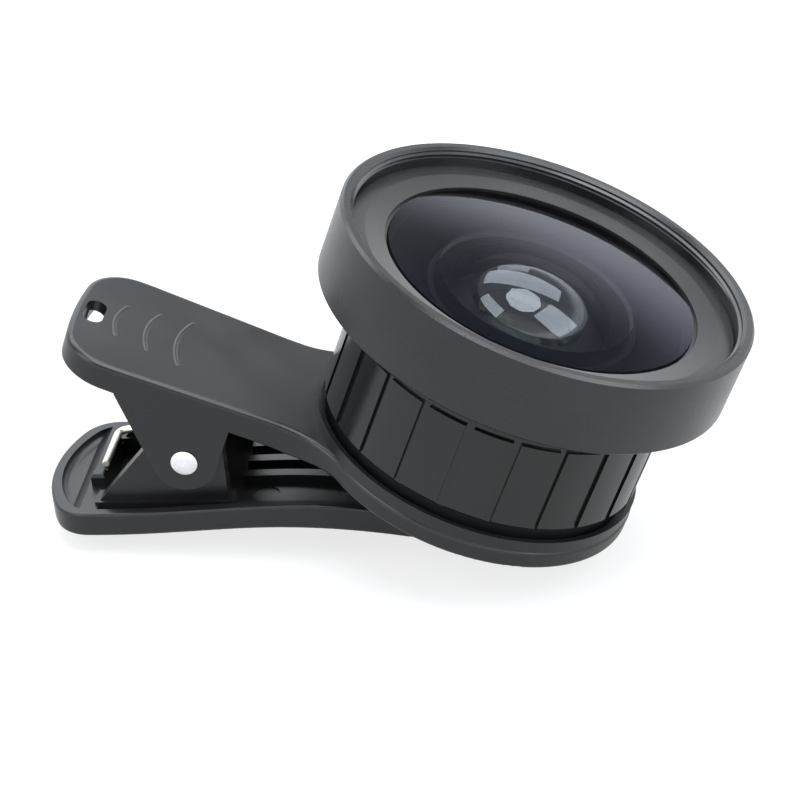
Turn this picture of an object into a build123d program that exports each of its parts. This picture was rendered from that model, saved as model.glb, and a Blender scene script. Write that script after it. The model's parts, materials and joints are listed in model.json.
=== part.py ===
from build123d import *
import math
import os

# Clip-on phone lens: a wide lens screwed on a macro lens, which is screwed into a sprung clip.
#
# Two working frames are used, and each piece is moved to the stored frame when it is written.
# Lens frame: the origin is on the lens axis, at the underside of the clip's round head. +Z runs
# along the lens axis towards the front glass, +X points away from the clip's tail, and Y lies
# along the hinge pin.
# Jaw frame: the lower arm's own frame, with its origin on the hinge pin and X along the arm.
# Stored frame: the clip lies on a table as it rests by itself, on the lower arm's tail and the
# far edge of the head's pad. +Z is up, and the origin is under the middle of the whole object.

# Front ring and its bezel
RING_R = 26.0
RING_H = 9.8
RIM_LAND = 1.5
RIM_CHAMFER = 0.35
FILTER_DEPTH = 2.5
UNDERCUT = 0.25
UNDERCUT_H = 0.75
BEZEL_T = 1.75
BEZEL_INSET = 0.3
BEZEL_SLACK = 0.05
BEZEL_FLAT_W = 1.9
BEZEL_W = 4.45
BEZEL_DISH = 0.35
APERTURE_STEP = 0.4
APERTURE_LIP = 0.55

# Grip barrel, which the front ring overhangs: its panels end below a plain neck
RING_OVERHANG = 5.55
GRIP_H = 15.55
GRIP_WALL = 2.25
GRIP_PANELS = 22
GRIP_TURN = -2.3
CHANNEL_W = 1.0
CHANNEL_DEPTH = 0.35
GRIP_NECK_H = 3.95
PANEL_CHAMFER = 0.15
GRIP_CHAMFER = 0.3
GRIP_FLOOR = 2.0
SPIGOT_H = 1.3
SPIGOT_INSET = 1.05

# Front glass
APERTURE_LAP = 0.15
FRONT_RIM_W = 0.6
FRONT_EDGE_T = 4.7
FRONT_BULGE = 1.1
FRONT_REAR_R = 12.6
FRONT_REAR_DROP = 4.6
CONE_CLEAR = 0.2
HOLLOW_R = 9.4
HOLLOW_DEPTH = 9.0

# Rear group of the wide lens and the cell that holds it
CELL_BORE_R = 8.6
CELL_LIP_R = 7.8
CELL_LIP_T = 0.7
STOP_T = 0.5
STOP_COVER = 0.6
STOP_LEDGE = 1.2
MIDDLE_T = 2.6
MIDDLE_HOLLOW = 1.1
REAR_SPACER_T = 0.9
REAR_T = 1.0
REAR_BULGE = 1.3
REAR_RING_T = 1.0
REAR_CLEAR_R = 7.4

# Macro lens
MACRO_FLANGE_INSET = 0.85
MACRO_FLANGE_T = 2.5
MACRO_THREAD_INSET = 0.8
MACRO_TOP_INSET = 3.2
MACRO_TOP_H = 1.9
MACRO_WALL = 1.6
MACRO_FLOOR_T = 0.9
MACRO_PORT_INSET = 2.2
MACRO_GLASS_EDGE_T = 2.2
MACRO_BULGE = 1.6
MACRO_RING_W = 1.3
MACRO_RING_T = 1.2

# Clip head, whose collar goes round the macro lens's flange
HEAD_LEDGE = 0.15
HEAD_T = 2.6
COLLAR_GAP = 0.7
COLLAR_WALL = 0.65
COLLAR_H = 1.3
HEAD_FOOT_R = 0.5
HEAD_PAD_INSET = 3.5
HEAD_PAD_W = 4.8
HEAD_PAD_T = 1.0

# Upper arm, which rises a little towards its tail
TAIL_X = -52.4
TAIL_BULGE = 1.2
TAIL_INSET = 0.25
TAIL_CORNER_R = 6.0
TAIL_STRAIGHT = 8.0
WAIST_REACH = 3.0
WAIST_INSET = 0.85
KNEE_RUN = 4.0
FLARE_R = 12.0
KNEE_REACH = 1.9
KNEE_DROP = 1.1
NECK_X = -14.5
ARM_RISE = 1.9
ARM_T = 3.35
ARM_EDGE_R = 0.7
ARM_PLATE_T = 1.45
SKIRT_T = 1.6
POCKET_REACH = 0.1
LANYARD_INSET = 2.5
LANYARD_W = 2.5
LANYARD_L = 5.0
GRIP_RIDGES = 3
GRIP_RIDGE_INSET = 5.2
GRIP_RIDGE_STEP = 4.0
GRIP_RIDGE_SPAN = 7.2
GRIP_RIDGE_GROWTH = 1.6
GRIP_RIDGE_SAG = 0.11
GRIP_RIDGE_R = 0.5
GRIP_RIDGE_RISE = 0.09

# Hinge
PIN_X = -33.6
PIN_Z = -6.65
PIN_R = 1.2
RIVET_HEAD_R = 1.65
RIVET_HEAD_H = 0.4
UPPER_EAR_R = 3.95
UPPER_EAR_T = 2.2
UPPER_EAR_TAIL_X = -44.2
LOWER_EAR_R = 4.45
LOWER_EAR_T = 1.9
LOWER_EAR_TAIL_X = -11.9
EAR_SIDE_GAP = 0.3

# Lower arm, in the jaw frame
JAW_ANGLE = 22.0
JAW_TAIL_X = -19.8
JAW_TAIL_BULGE = 3.6
JAW_TAIL_CORNER_R = 5.0
JAW_HALF_W = 11.3
JAW_TIP_INSET = 2.7
JAW_TIP_X = 15.0
JAW_TIP_CORNER_R = 5.5
JAW_TAPER_X = 27.0
JAW_FLAT_X = -12.0
JAW_BASE_Z = -10.4
JAW_ARCH_X = 9.5
JAW_ARCH_Z = -9.3
JAW_SLOPE_X = 27.0
JAW_SLOPE_Z = -10.7
JAW_HEIGHT = 3.3
JAW_LAND_X = 6.5
JAW_LAND_T = 2.0
JAW_FLOOR = 1.4
JAW_RIM = 1.3
JAW_FOOT_R = 0.6
JAW_FOOT_FLAT = 0.2
JAW_LIP_R = 0.35
JAW_POCKET_TAIL_X = -12.1
JAW_POCKET_END_X = 31.0
DISH_DEPTH = 1.0
DISH_END_X = -14.3
DISH_RAMP = 1.5
DISH_EDGE_R = 0.9
JAW_RIB_COUNT = 3
JAW_RIB_PITCH = 3.6
JAW_RIB_FIRST_Y = -1.8
JAW_RIB_W = 1.4
JAW_RIB_H = 0.95
JAW_RIB_START_X = 5.2
DIMPLE_X = 8.6
DIMPLE_Y = -5.4
DIMPLE_R = 1.7
DIMPLE_DEPTH = 0.15
PLINTH_W = 2.9
PLINTH_Z = -6.7
PLINTH_OVERHANG = 0.6
JAW_PAD_T = 1.8
JAW_PAD_MARGIN = 0.9
SEAT_RIB_W = 0.95
SEAT_RIB_Z = -5.9
SEAT_RIB_LOW_Y = -2.9
SEAT_RIB_HIGH_Y = 5.4
SEAT_KNOB_W = 1.8
SEAT_KNOB_L = 1.7
SEAT_KNOB_RISE = 0.35
SEAT_KNOB_R = 0.5

# Torsion spring
WIRE_D = 1.0
COIL_MEAN_R = 2.6
COIL_PITCH = 1.97
COIL_WHOLE_TURNS = 4
COIL_ARC_PAIRS = 2
LOW_LEG_REACH = 12.5
HIGH_LEG_REACH = 11.6
LEG_BAR = 8.0
LEG_BEND_R = 1.3

# Clearances
THREAD_CLEAR = 0.05
GLASS_CLEAR = 0.08
SEAT_GAP = 0.1
PIVOT_CLEAR = 0.06
RIVET_CLEAR = 0.02
RIVET_SEAT_GAP = 0.12
PAD_POCKET_CLEAR = 0.15
JAW_GAP = 0.25
WIRE_GAP = 0.05

# Levels along the lens axis, worked up from the head's underside
LEVEL_HEAD_TOP = HEAD_T
LEVEL_FLANGE = LEVEL_HEAD_TOP + SEAT_GAP
LEVEL_GRIP = LEVEL_FLANGE + MACRO_FLANGE_T + SEAT_GAP
LEVEL_RING = LEVEL_GRIP + GRIP_H
LEVEL_GLASS = LEVEL_RING + SPIGOT_H + SEAT_GAP
LEVEL_GLASS_EDGE = LEVEL_GLASS + FRONT_EDGE_T
LEVEL_RIM = LEVEL_RING + RING_H
LEVEL_BEZEL = LEVEL_RIM - FILTER_DEPTH
LEVEL_GLASS_REAR = LEVEL_GLASS - FRONT_REAR_DROP

# The rear group is stacked upwards in the cell: ring, rear glass, spacer, middle glass
LEVEL_CELL = LEVEL_GRIP + GRIP_FLOOR
LEVEL_REAR_GLASS = LEVEL_CELL + REAR_RING_T
LEVEL_SPACER = LEVEL_REAR_GLASS + REAR_T
LEVEL_MIDDLE = LEVEL_SPACER + REAR_SPACER_T + REAR_BULGE
LEVEL_GROUP_TOP = LEVEL_MIDDLE + MIDDLE_T

# The macro glass lies on the floor of the macro lens, just above the head's underside
LEVEL_MACRO_FOOT = SEAT_GAP
LEVEL_MACRO_GLASS = LEVEL_MACRO_FOOT + MACRO_FLOOR_T
LEVEL_MACRO_RING = LEVEL_MACRO_GLASS + MACRO_GLASS_EDGE_T

# The closed jaw's pad and the flat below it, worked down from the head's pad
LEVEL_JAW_PAD = -HEAD_PAD_T - JAW_GAP
LEVEL_JAW_LAND = LEVEL_JAW_PAD - JAW_PAD_T

# Radii and places that follow from the outer sizes
FILTER_R = RING_R - RIM_LAND
BEZEL_R = FILTER_R - BEZEL_INSET
BEZEL_CREASE_R = BEZEL_R - BEZEL_FLAT_W
APERTURE_R = BEZEL_R - BEZEL_W
FRONT_GLASS_R = APERTURE_R + APERTURE_LAP
FRONT_CLEAR_R = FRONT_GLASS_R - FRONT_RIM_W
GRIP_R = RING_R - RING_OVERHANG
GRIP_BORE_R = GRIP_R - GRIP_WALL
SPIGOT_R = GRIP_R - SPIGOT_INSET
STOP_APERTURE_R = HOLLOW_R - STOP_COVER
MACRO_FLANGE_R = GRIP_R - MACRO_FLANGE_INSET
COLLAR_R = MACRO_FLANGE_R + COLLAR_GAP + COLLAR_WALL
HEAD_R = COLLAR_R + HEAD_LEDGE
HEAD_PAD_R = HEAD_R - HEAD_PAD_INSET
HEAD_PAD_INNER_R = HEAD_PAD_R - HEAD_PAD_W
MACRO_THREAD_R = HEAD_PAD_INNER_R - MACRO_THREAD_INSET
MACRO_TOP_R = GRIP_BORE_R - MACRO_TOP_INSET
MACRO_BORE_R = MACRO_THREAD_R - MACRO_WALL
MACRO_PORT_R = MACRO_BORE_R - MACRO_PORT_INSET
MACRO_CLEAR_R = MACRO_BORE_R - MACRO_RING_W
KNEE_X = -HEAD_R - KNEE_REACH
WAIST_X = KNEE_X - WAIST_REACH
TAIL_HALF_W = JAW_HALF_W - TAIL_INSET
WAIST_HALF_W = TAIL_HALF_W - WAIST_INSET
UPPER_EAR_INNER_Y = TAIL_HALF_W - UPPER_EAR_T
JAW_TIP_HALF_W = JAW_HALF_W - JAW_TIP_INSET
LANYARD_X = TAIL_X + LANYARD_INSET
GRIP_RIDGE_X = TAIL_X + GRIP_RIDGE_INSET
POCKET_END_X = POCKET_REACH - HEAD_R


def turned(*outline):
    """A turned piece from its half section, given as (radius, height) points."""
    return revolve(Plane.XZ * make_face(Polyline(*outline, close=True)), Axis.Z)


def plain_ring(inner_r, outer_r, z_low, z_high):
    """A plain ring on the lens axis."""
    return turned((inner_r, z_low), (outer_r, z_low), (outer_r, z_high), (inner_r, z_high))


def domed_glass(radius, clear_r, z_low, z_edge, bulge):
    """A round glass on the lens axis, flat below and bulged within clear_r above."""
    rim = Polyline((0, z_low), (radius, z_low), (radius, z_edge), (clear_r, z_edge))
    apex = z_edge + bulge
    dome = TangentArc((0, apex), (clear_r, z_edge), tangent=(1, 0))
    axis_line = Line((0, z_low), (0, apex))
    return revolve(Plane.XZ * make_face([rim, dome, axis_line]), Axis.Z)


def slab(outline, y_low, y_high):
    """A side view outline in X and Z, given thickness from y_low to y_high."""
    return Pos(0, y_high, 0) * extrude(Plane.XZ * outline, y_high - y_low)


def prism(outline, z_low, z_high):
    """A plan outline in X and Y, given height from z_low to z_high."""
    return Pos(0, 0, z_low) * extrude(outline, z_high - z_low)


def block(x_low, x_high, y_low, y_high, z_low, z_high):
    """A box between two corners."""
    size = (x_high - x_low, y_high - y_low, z_high - z_low)
    return Pos(x_low, y_low, z_low) * Box(*size, align=(Align.MIN, Align.MIN, Align.MIN))


def hull_of(radius, points):
    """The outline stretched round a circle at the origin and a few points."""
    return make_hull(Circle(radius).edges() + Polyline(*points, close=True).edges())


def front_ring():
    """Outer ring with the filter thread's bore, the bezel's pocket and the glass seat."""
    pocket_r = FRONT_GLASS_R + GLASS_CLEAR
    bezel_bore = BEZEL_R + BEZEL_SLACK
    bezel_floor = LEVEL_BEZEL - BEZEL_T
    spigot_bore = SPIGOT_R + THREAD_CLEAR
    ring = turned(
        (spigot_bore, LEVEL_RING),
        (RING_R - RIM_CHAMFER, LEVEL_RING),
        (RING_R, LEVEL_RING + RIM_CHAMFER),
        (RING_R, LEVEL_RIM - RIM_CHAMFER),
        (RING_R - RIM_CHAMFER, LEVEL_RIM),
        (FILTER_R + RIM_CHAMFER, LEVEL_RIM),
        (FILTER_R, LEVEL_RIM - RIM_CHAMFER),
        (FILTER_R, LEVEL_BEZEL + UNDERCUT_H),
        (FILTER_R + UNDERCUT, LEVEL_BEZEL + UNDERCUT_H),
        (FILTER_R + UNDERCUT, LEVEL_BEZEL),
        (bezel_bore, LEVEL_BEZEL),
        (bezel_bore, bezel_floor),
        (pocket_r, bezel_floor),
        (pocket_r, LEVEL_GLASS),
        (spigot_bore, LEVEL_GLASS),
    )
    return ring


def front_bezel():
    """Dished ring that screws in from the front and holds the front glass down."""
    inner = APERTURE_R - APERTURE_STEP
    edge_top = LEVEL_BEZEL - BEZEL_DISH
    step = edge_top - APERTURE_LIP
    return turned(
        (inner, LEVEL_GLASS_EDGE),
        (FRONT_GLASS_R, LEVEL_GLASS_EDGE),
        (FRONT_GLASS_R, LEVEL_BEZEL - BEZEL_T),
        (BEZEL_R, LEVEL_BEZEL - BEZEL_T),
        (BEZEL_R, LEVEL_BEZEL),
        (BEZEL_CREASE_R, LEVEL_BEZEL),
        (APERTURE_R, edge_top),
        (APERTURE_R, step),
        (inner, step),
    )


def front_element():
    """Deep front glass: a domed face, a coned rim and a hollow ground into its back."""
    rear_half = Polyline(
        (FRONT_CLEAR_R, LEVEL_GLASS_EDGE),
        (FRONT_GLASS_R, LEVEL_GLASS_EDGE),
        (FRONT_GLASS_R, LEVEL_GLASS),
        (GRIP_BORE_R - CONE_CLEAR, LEVEL_GLASS),
        (FRONT_REAR_R, LEVEL_GLASS_REAR),
        (HOLLOW_R, LEVEL_GLASS_REAR),
    )
    front_apex = LEVEL_GLASS_EDGE + FRONT_BULGE
    hollow_apex = LEVEL_GLASS_REAR + HOLLOW_DEPTH
    hollow = TangentArc((0, hollow_apex), (HOLLOW_R, LEVEL_GLASS_REAR), tangent=(1, 0))
    dome = TangentArc((0, front_apex), (FRONT_CLEAR_R, LEVEL_GLASS_EDGE), tangent=(1, 0))
    axis_line = Line((0, hollow_apex), (0, front_apex))
    section = make_face([rear_half, hollow, axis_line, dome])
    return revolve(Plane.XZ * section, Axis.Z)


def grip_barrel():
    """Outer barrel of the wide lens, with raised grip panels between upright channels."""
    neck_r = GRIP_R - CHANNEL_DEPTH
    neck_z = LEVEL_RING - GRIP_NECK_H
    barrel = turned(
        (MACRO_TOP_R + THREAD_CLEAR, LEVEL_GRIP),
        (GRIP_R - GRIP_CHAMFER, LEVEL_GRIP),
        (GRIP_R, LEVEL_GRIP + GRIP_CHAMFER),
        (GRIP_R, neck_z - PANEL_CHAMFER),
        (GRIP_R - PANEL_CHAMFER, neck_z),
        (neck_r, neck_z),
        (neck_r, LEVEL_RING),
        (SPIGOT_R, LEVEL_RING),
        (SPIGOT_R, LEVEL_RING + SPIGOT_H),
        (GRIP_BORE_R, LEVEL_RING + SPIGOT_H),
        (GRIP_BORE_R, LEVEL_CELL),
        (MACRO_TOP_R + THREAD_CLEAR, LEVEL_CELL),
    )
    channel = block(
        neck_r, 2 * GRIP_R, -CHANNEL_W / 2, CHANNEL_W / 2, LEVEL_GRIP - GRIP_H, neck_z
    )
    channels = [Rot(0, 0, GRIP_TURN + 360 * i / GRIP_PANELS) * channel for i in range(GRIP_PANELS)]
    return barrel - channels


def inner_cell():
    """Black cell inside the barrel: it carries the rear group and shades the light path."""
    outer_r = GRIP_BORE_R - THREAD_CLEAR
    lip_top = LEVEL_GROUP_TOP + CELL_LIP_T
    stop_z = LEVEL_GLASS_REAR - SEAT_GAP - STOP_T
    stop_r = FRONT_REAR_R
    return turned(
        (CELL_BORE_R, LEVEL_CELL),
        (outer_r, LEVEL_CELL),
        (outer_r, LEVEL_GLASS_REAR - SEAT_GAP),
        (stop_r, LEVEL_GLASS_REAR - SEAT_GAP),
        (stop_r, stop_z),
        (stop_r - STOP_LEDGE, stop_z),
        (CELL_LIP_R, lip_top),
        (CELL_LIP_R, LEVEL_GROUP_TOP),
        (CELL_BORE_R, LEVEL_GROUP_TOP),
    )


def field_stop():
    """Thin black stop ring between the front glass and the cell."""
    top = LEVEL_GLASS_REAR - SEAT_GAP
    radius = FRONT_REAR_R - GLASS_CLEAR
    return turned(
        (STOP_APERTURE_R, top - STOP_T), (radius, top - STOP_T), (radius, top), (STOP_APERTURE_R, top)
    )


def middle_element():
    """Middle glass, hollow on its front face."""
    radius = CELL_BORE_R - GLASS_CLEAR
    clear = CELL_LIP_R
    top = LEVEL_GROUP_TOP
    rim = Polyline((0, LEVEL_MIDDLE), (radius, LEVEL_MIDDLE), (radius, top), (clear, top))
    hollow = TangentArc((0, top - MIDDLE_HOLLOW), (clear, top), tangent=(1, 0))
    axis_line = Line((0, LEVEL_MIDDLE), (0, top - MIDDLE_HOLLOW))
    return revolve(Plane.XZ * make_face([rim, hollow, axis_line]), Axis.Z)


def rear_spacer():
    """Ring that keeps the middle and the rear glass apart."""
    return plain_ring(REAR_CLEAR_R, CELL_BORE_R - GLASS_CLEAR, LEVEL_SPACER, LEVEL_MIDDLE)


def rear_element():
    """Rear glass: flat behind and bulged in front."""
    radius = CELL_BORE_R - GLASS_CLEAR
    return domed_glass(radius, REAR_CLEAR_R, LEVEL_REAR_GLASS, LEVEL_SPACER, REAR_BULGE)


def rear_retaining_ring():
    """Threaded ring that closes the rear group."""
    return plain_ring(REAR_CLEAR_R, CELL_BORE_R - THREAD_CLEAR, LEVEL_CELL, LEVEL_REAR_GLASS)


def macro_barrel():
    """Macro lens body: a flange on the head, a thread below it and a thread above it."""
    flange_top = LEVEL_FLANGE + MACRO_FLANGE_T
    thread_r = MACRO_THREAD_R - THREAD_CLEAR
    return turned(
        (MACRO_PORT_R, LEVEL_MACRO_FOOT),
        (thread_r, LEVEL_MACRO_FOOT),
        (thread_r, LEVEL_FLANGE),
        (MACRO_FLANGE_R, LEVEL_FLANGE),
        (MACRO_FLANGE_R, flange_top),
        (MACRO_TOP_R, flange_top),
        (MACRO_TOP_R, flange_top + MACRO_TOP_H),
        (MACRO_BORE_R, flange_top + MACRO_TOP_H),
        (MACRO_BORE_R, LEVEL_MACRO_GLASS),
        (MACRO_PORT_R, LEVEL_MACRO_GLASS),
    )


def macro_element():
    """Macro glass: flat towards the phone and bulged towards the wide lens."""
    radius = MACRO_BORE_R - GLASS_CLEAR
    return domed_glass(radius, MACRO_CLEAR_R, LEVEL_MACRO_GLASS, LEVEL_MACRO_RING, MACRO_BULGE)


def macro_retaining_ring():
    """Threaded ring that holds the macro glass down."""
    radius = MACRO_BORE_R - THREAD_CLEAR
    return plain_ring(MACRO_CLEAR_R, radius, LEVEL_MACRO_RING, LEVEL_MACRO_RING + MACRO_RING_T)


def tail_end(x, half, bulge):
    """The bowed end line of an arm's tail, from one side to the other."""
    return ThreePointArc((x + bulge, half), (x, 0), (x + bulge, -half))


def arm_half_width(x):
    """Half the upper arm's width at x, between its tail and its waist."""
    straight_x = TAIL_X + TAIL_STRAIGHT
    share = (x - straight_x) / (WAIST_X - straight_x)
    return TAIL_HALF_W + (WAIST_HALF_W - TAIL_HALF_W) * max(share, 0)


def arm_top(x):
    """Height of the upper arm's top face at x."""
    return HEAD_T + math.tan(math.radians(ARM_RISE)) * (KNEE_X - x)


def arm_outline(inset, end_x):
    """Plan outline of the upper arm by itself, drawn in by inset, as far as end_x."""
    straight_x = TAIL_X + TAIL_STRAIGHT
    tail = TAIL_HALF_W - inset
    waist = WAIST_HALF_W - inset
    end = tail_end(TAIL_X + inset, tail, TAIL_BULGE)
    sides = Polyline(
        end @ 1, (straight_x, -tail), (WAIST_X, -waist), (end_x, -waist),
        (end_x, waist), (WAIST_X, waist), (straight_x, tail), end @ 0,
    )
    outline = make_face([end, sides])
    corners = [v for v in outline.vertices() if v.X < TAIL_X + inset + TAIL_BULGE + 0.01]
    return fillet(corners, TAIL_CORNER_R - inset)


def upper_plan():
    """Plan outline of the upper arm and the round head, with flared joins."""
    plan = arm_outline(0, 0) + Circle(HEAD_R)
    joins = [v for v in plan.vertices() if abs(math.hypot(v.X, v.Y) - HEAD_R) < 0.01 and v.X < 0]
    return fillet(joins, FLARE_R)


def upper_side():
    """Side outline of the upper arm and the head."""
    end_x = TAIL_X - 1
    bend_x = KNEE_X - KNEE_RUN
    rise = math.tan(math.radians(ARM_RISE))
    tail_foot = arm_top(end_x) - ARM_T
    fall = (-KNEE_DROP - tail_foot) / (KNEE_X - end_x)
    top = [
        Line((end_x, arm_top(end_x)), (bend_x, arm_top(bend_x))),
        Spline((bend_x, arm_top(bend_x)), (KNEE_X + 2, HEAD_T), tangents=((1, -rise), (1, 0))),
    ]
    head = Polyline((KNEE_X + 2, HEAD_T), (HEAD_R + 1, HEAD_T), (HEAD_R + 1, 0), (NECK_X, 0))
    foot = [
        Spline((NECK_X, 0), (KNEE_X, -KNEE_DROP), tangents=((-1, 0), (-1, -fall))),
        Polyline((KNEE_X, -KNEE_DROP), (end_x, tail_foot), (end_x, arm_top(end_x))),
    ]
    return make_face(top + [head] + foot)


def upper_arm():
    """Upper arm: skirted plate, threaded head with its collar, two ears and a lanyard slot."""
    reach = 2 * HEAD_R
    arm = prism(upper_plan(), -reach, reach) & slab(upper_side(), -reach, reach)
    arm = fillet(edges_facing(arm, Vector(0, 0, 1)), ARM_EDGE_R)
    arm = fillet(edges_facing(arm, Vector(0, 0, -1)), HEAD_FOOT_R)
    arm += [ear for ear in upper_ears()]
    arm += plain_ring(COLLAR_R - COLLAR_WALL, COLLAR_R, HEAD_T / 2, HEAD_T + COLLAR_H)
    arm += [ridge for ridge in grip_ridges()]
    arm -= Cylinder(MACRO_THREAD_R, 4 * HEAD_T)
    arm -= Pos(0, 0, -ARM_T) * Cylinder(HEAD_PAD_R + PAD_POCKET_CLEAR, 2 * ARM_T)
    arm -= pocket_under_arm()
    arm -= Pos(PIN_X, 0, PIN_Z) * Rot(90, 0, 0) * Cylinder(PIN_R + RIVET_CLEAR, 4 * TAIL_HALF_W)
    return arm - lanyard_slot()


def edges_facing(solid, direction):
    """The outer boundary edges of the faces that look in a direction."""
    faces = [f for f in solid.faces() if f.normal_at().dot(direction) > 0.7]
    found = []
    for face in faces:
        found += face.outer_wire().edges()
    single = [e for e in found if sum(e.is_same(other) for other in found) == 1]
    return ShapeList(single)


def tilted(piece):
    """A piece drawn flat at the height zero, laid on the upper arm's rising top face."""
    return Pos(KNEE_X, 0, HEAD_T) * Rot(0, ARM_RISE, 0) * Pos(-KNEE_X, 0, 0) * piece


def lanyard_slot():
    """Slot through the arm's tail, for a lanyard."""
    slot = Rot(0, 0, 90) * SlotOverall(LANYARD_L, LANYARD_W)
    return Pos(LANYARD_X, 0, -HEAD_R) * extrude(slot, 2 * HEAD_R)


def pocket_under_arm():
    """Hollow under the upper arm's plate, inside its skirt."""
    return tilted(prism(arm_outline(SKIRT_T, POCKET_END_X), -4 * ARM_T, -ARM_PLATE_T))


def grip_ridges():
    """Raised arcs across the tail's top face, each longer than the last."""
    ridges = []
    for i in range(GRIP_RIDGES):
        x = GRIP_RIDGE_X + i * GRIP_RIDGE_STEP
        half = (GRIP_RIDGE_SPAN + i * GRIP_RIDGE_GROWTH) / 2
        sag = 2 * half * GRIP_RIDGE_SAG
        z = GRIP_RIDGE_RISE - GRIP_RIDGE_R
        path = ThreePointArc((x + sag, -half, z), (x, 0, z), (x + sag, half, z))
        start = Plane(origin=path @ 0, z_dir=path % 0)
        ridge = sweep(start * Circle(GRIP_RIDGE_R), path=path)
        ridge += Pos(*(path @ 0)) * Sphere(GRIP_RIDGE_R)
        ridge += Pos(*(path @ 1)) * Sphere(GRIP_RIDGE_R)
        ridges.append(tilted(ridge))
    return ridges


def upper_ears():
    """Two rounded ears in line with the arm's side walls, which hold the rivet."""
    root = arm_top(PIN_X) - PIN_Z - ARM_PLATE_T / 2
    tail = UPPER_EAR_TAIL_X - PIN_X
    skirt = arm_top(UPPER_EAR_TAIL_X) - ARM_T - PIN_Z
    outline = hull_of(UPPER_EAR_R, [(tail, skirt), (tail, root), (UPPER_EAR_R, root)])
    ear = Pos(PIN_X, 0, PIN_Z) * slab(outline, UPPER_EAR_INNER_Y, 2 * TAIL_HALF_W)
    ear &= prism(arm_outline(0, 0), -4 * UPPER_EAR_R, HEAD_T)
    return [ear, mirror(ear, Plane.XZ)]


def head_pad():
    """Soft ring under the head, which lies against the phone round its camera."""
    return plain_ring(HEAD_PAD_INNER_R, HEAD_PAD_R, -HEAD_PAD_T, 0)


def hinge_rivet():
    """Rivet through the four ears, with a domed head at each end."""
    seat = arm_half_width(PIN_X) + RIVET_SEAT_GAP
    tip = seat + RIVET_HEAD_H
    section = make_face(
        [
            Polyline((0, 0), (PIN_R, 0), (PIN_R, seat), (RIVET_HEAD_R, seat)),
            TangentArc((0, tip), (RIVET_HEAD_R, seat), tangent=(1, 0)),
            Line((0, tip), (0, 0)),
        ]
    )
    half_rivet = revolve(Plane.XZ * section, Axis.Z)
    rivet = half_rivet + mirror(half_rivet, Plane.XY)
    return Pos(PIN_X, 0, PIN_Z) * Rot(90, 0, 0) * rivet


def jaw_point(x, z):
    """A lens frame point, seen in the jaw frame."""
    turn = math.radians(JAW_ANGLE)
    dx = x - PIN_X
    dz = z - PIN_Z
    return (dx * math.cos(turn) + dz * math.sin(turn), -dx * math.sin(turn) + dz * math.cos(turn))


def in_jaw(piece):
    """A piece modelled in the jaw frame, moved to the lens frame."""
    return Pos(PIN_X, 0, PIN_Z) * Rot(0, -JAW_ANGLE, 0) * piece


def jaw_plan(inset):
    """Plan outline of the lower arm, drawn in by inset."""
    tip_x = jaw_point(JAW_TIP_X, LEVEL_JAW_LAND)[0] - inset
    half = JAW_HALF_W - inset
    tip_half = JAW_TIP_HALF_W - inset
    end = tail_end(JAW_TAIL_X + inset, half, JAW_TAIL_BULGE)
    sides = Polyline(
        end @ 1, (JAW_TAPER_X, -half), (tip_x, -tip_half), (tip_x, tip_half), (JAW_TAPER_X, half), end @ 0
    )
    outline = make_face([end, sides])
    tail_corners = [v for v in outline.vertices() if v.X < 0]
    outline = fillet(tail_corners, JAW_TAIL_CORNER_R - inset)
    return fillet(outline.vertices().group_by(Axis.X)[-1], JAW_TIP_CORNER_R - inset)


def jaw_curve(lift_back, lift_front):
    """The lower arm's arched underside, raised by one amount at the back and another in front."""
    land_x, land_z = jaw_point(JAW_LAND_X, LEVEL_JAW_LAND - JAW_LAND_T)
    end_x, end_z = jaw_point(JAW_TIP_X + 2, LEVEL_JAW_LAND - JAW_LAND_T)
    slope = (end_x - land_x, end_z - land_z)
    back = Line((JAW_TAIL_X - 1, JAW_BASE_Z + lift_back), (JAW_FLAT_X, JAW_BASE_Z + lift_back))
    arch = Spline(
        (JAW_FLAT_X, JAW_BASE_Z + lift_back),
        (JAW_ARCH_X, JAW_ARCH_Z + lift_back),
        (JAW_SLOPE_X, JAW_SLOPE_Z + lift_back),
        (land_x, land_z + lift_front),
        tangents=((1, 0), slope),
    )
    land = Line((land_x, land_z + lift_front), (end_x, end_z + lift_front))
    return [back, arch, land]


def jaw_slab(low, high):
    """The band between two raised copies of the underside curve, as wide as the arm."""
    low_edges = jaw_curve(*low)
    high_edges = jaw_curve(*high)
    tail_end_line = Line(low_edges[0] @ 0, high_edges[0] @ 0)
    tip_end_line = Line(low_edges[-1] @ 1, high_edges[-1] @ 1)
    outline = make_face(low_edges + high_edges + [tail_end_line, tip_end_line])
    return slab(outline, -2 * JAW_HALF_W, 2 * JAW_HALF_W)


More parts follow.
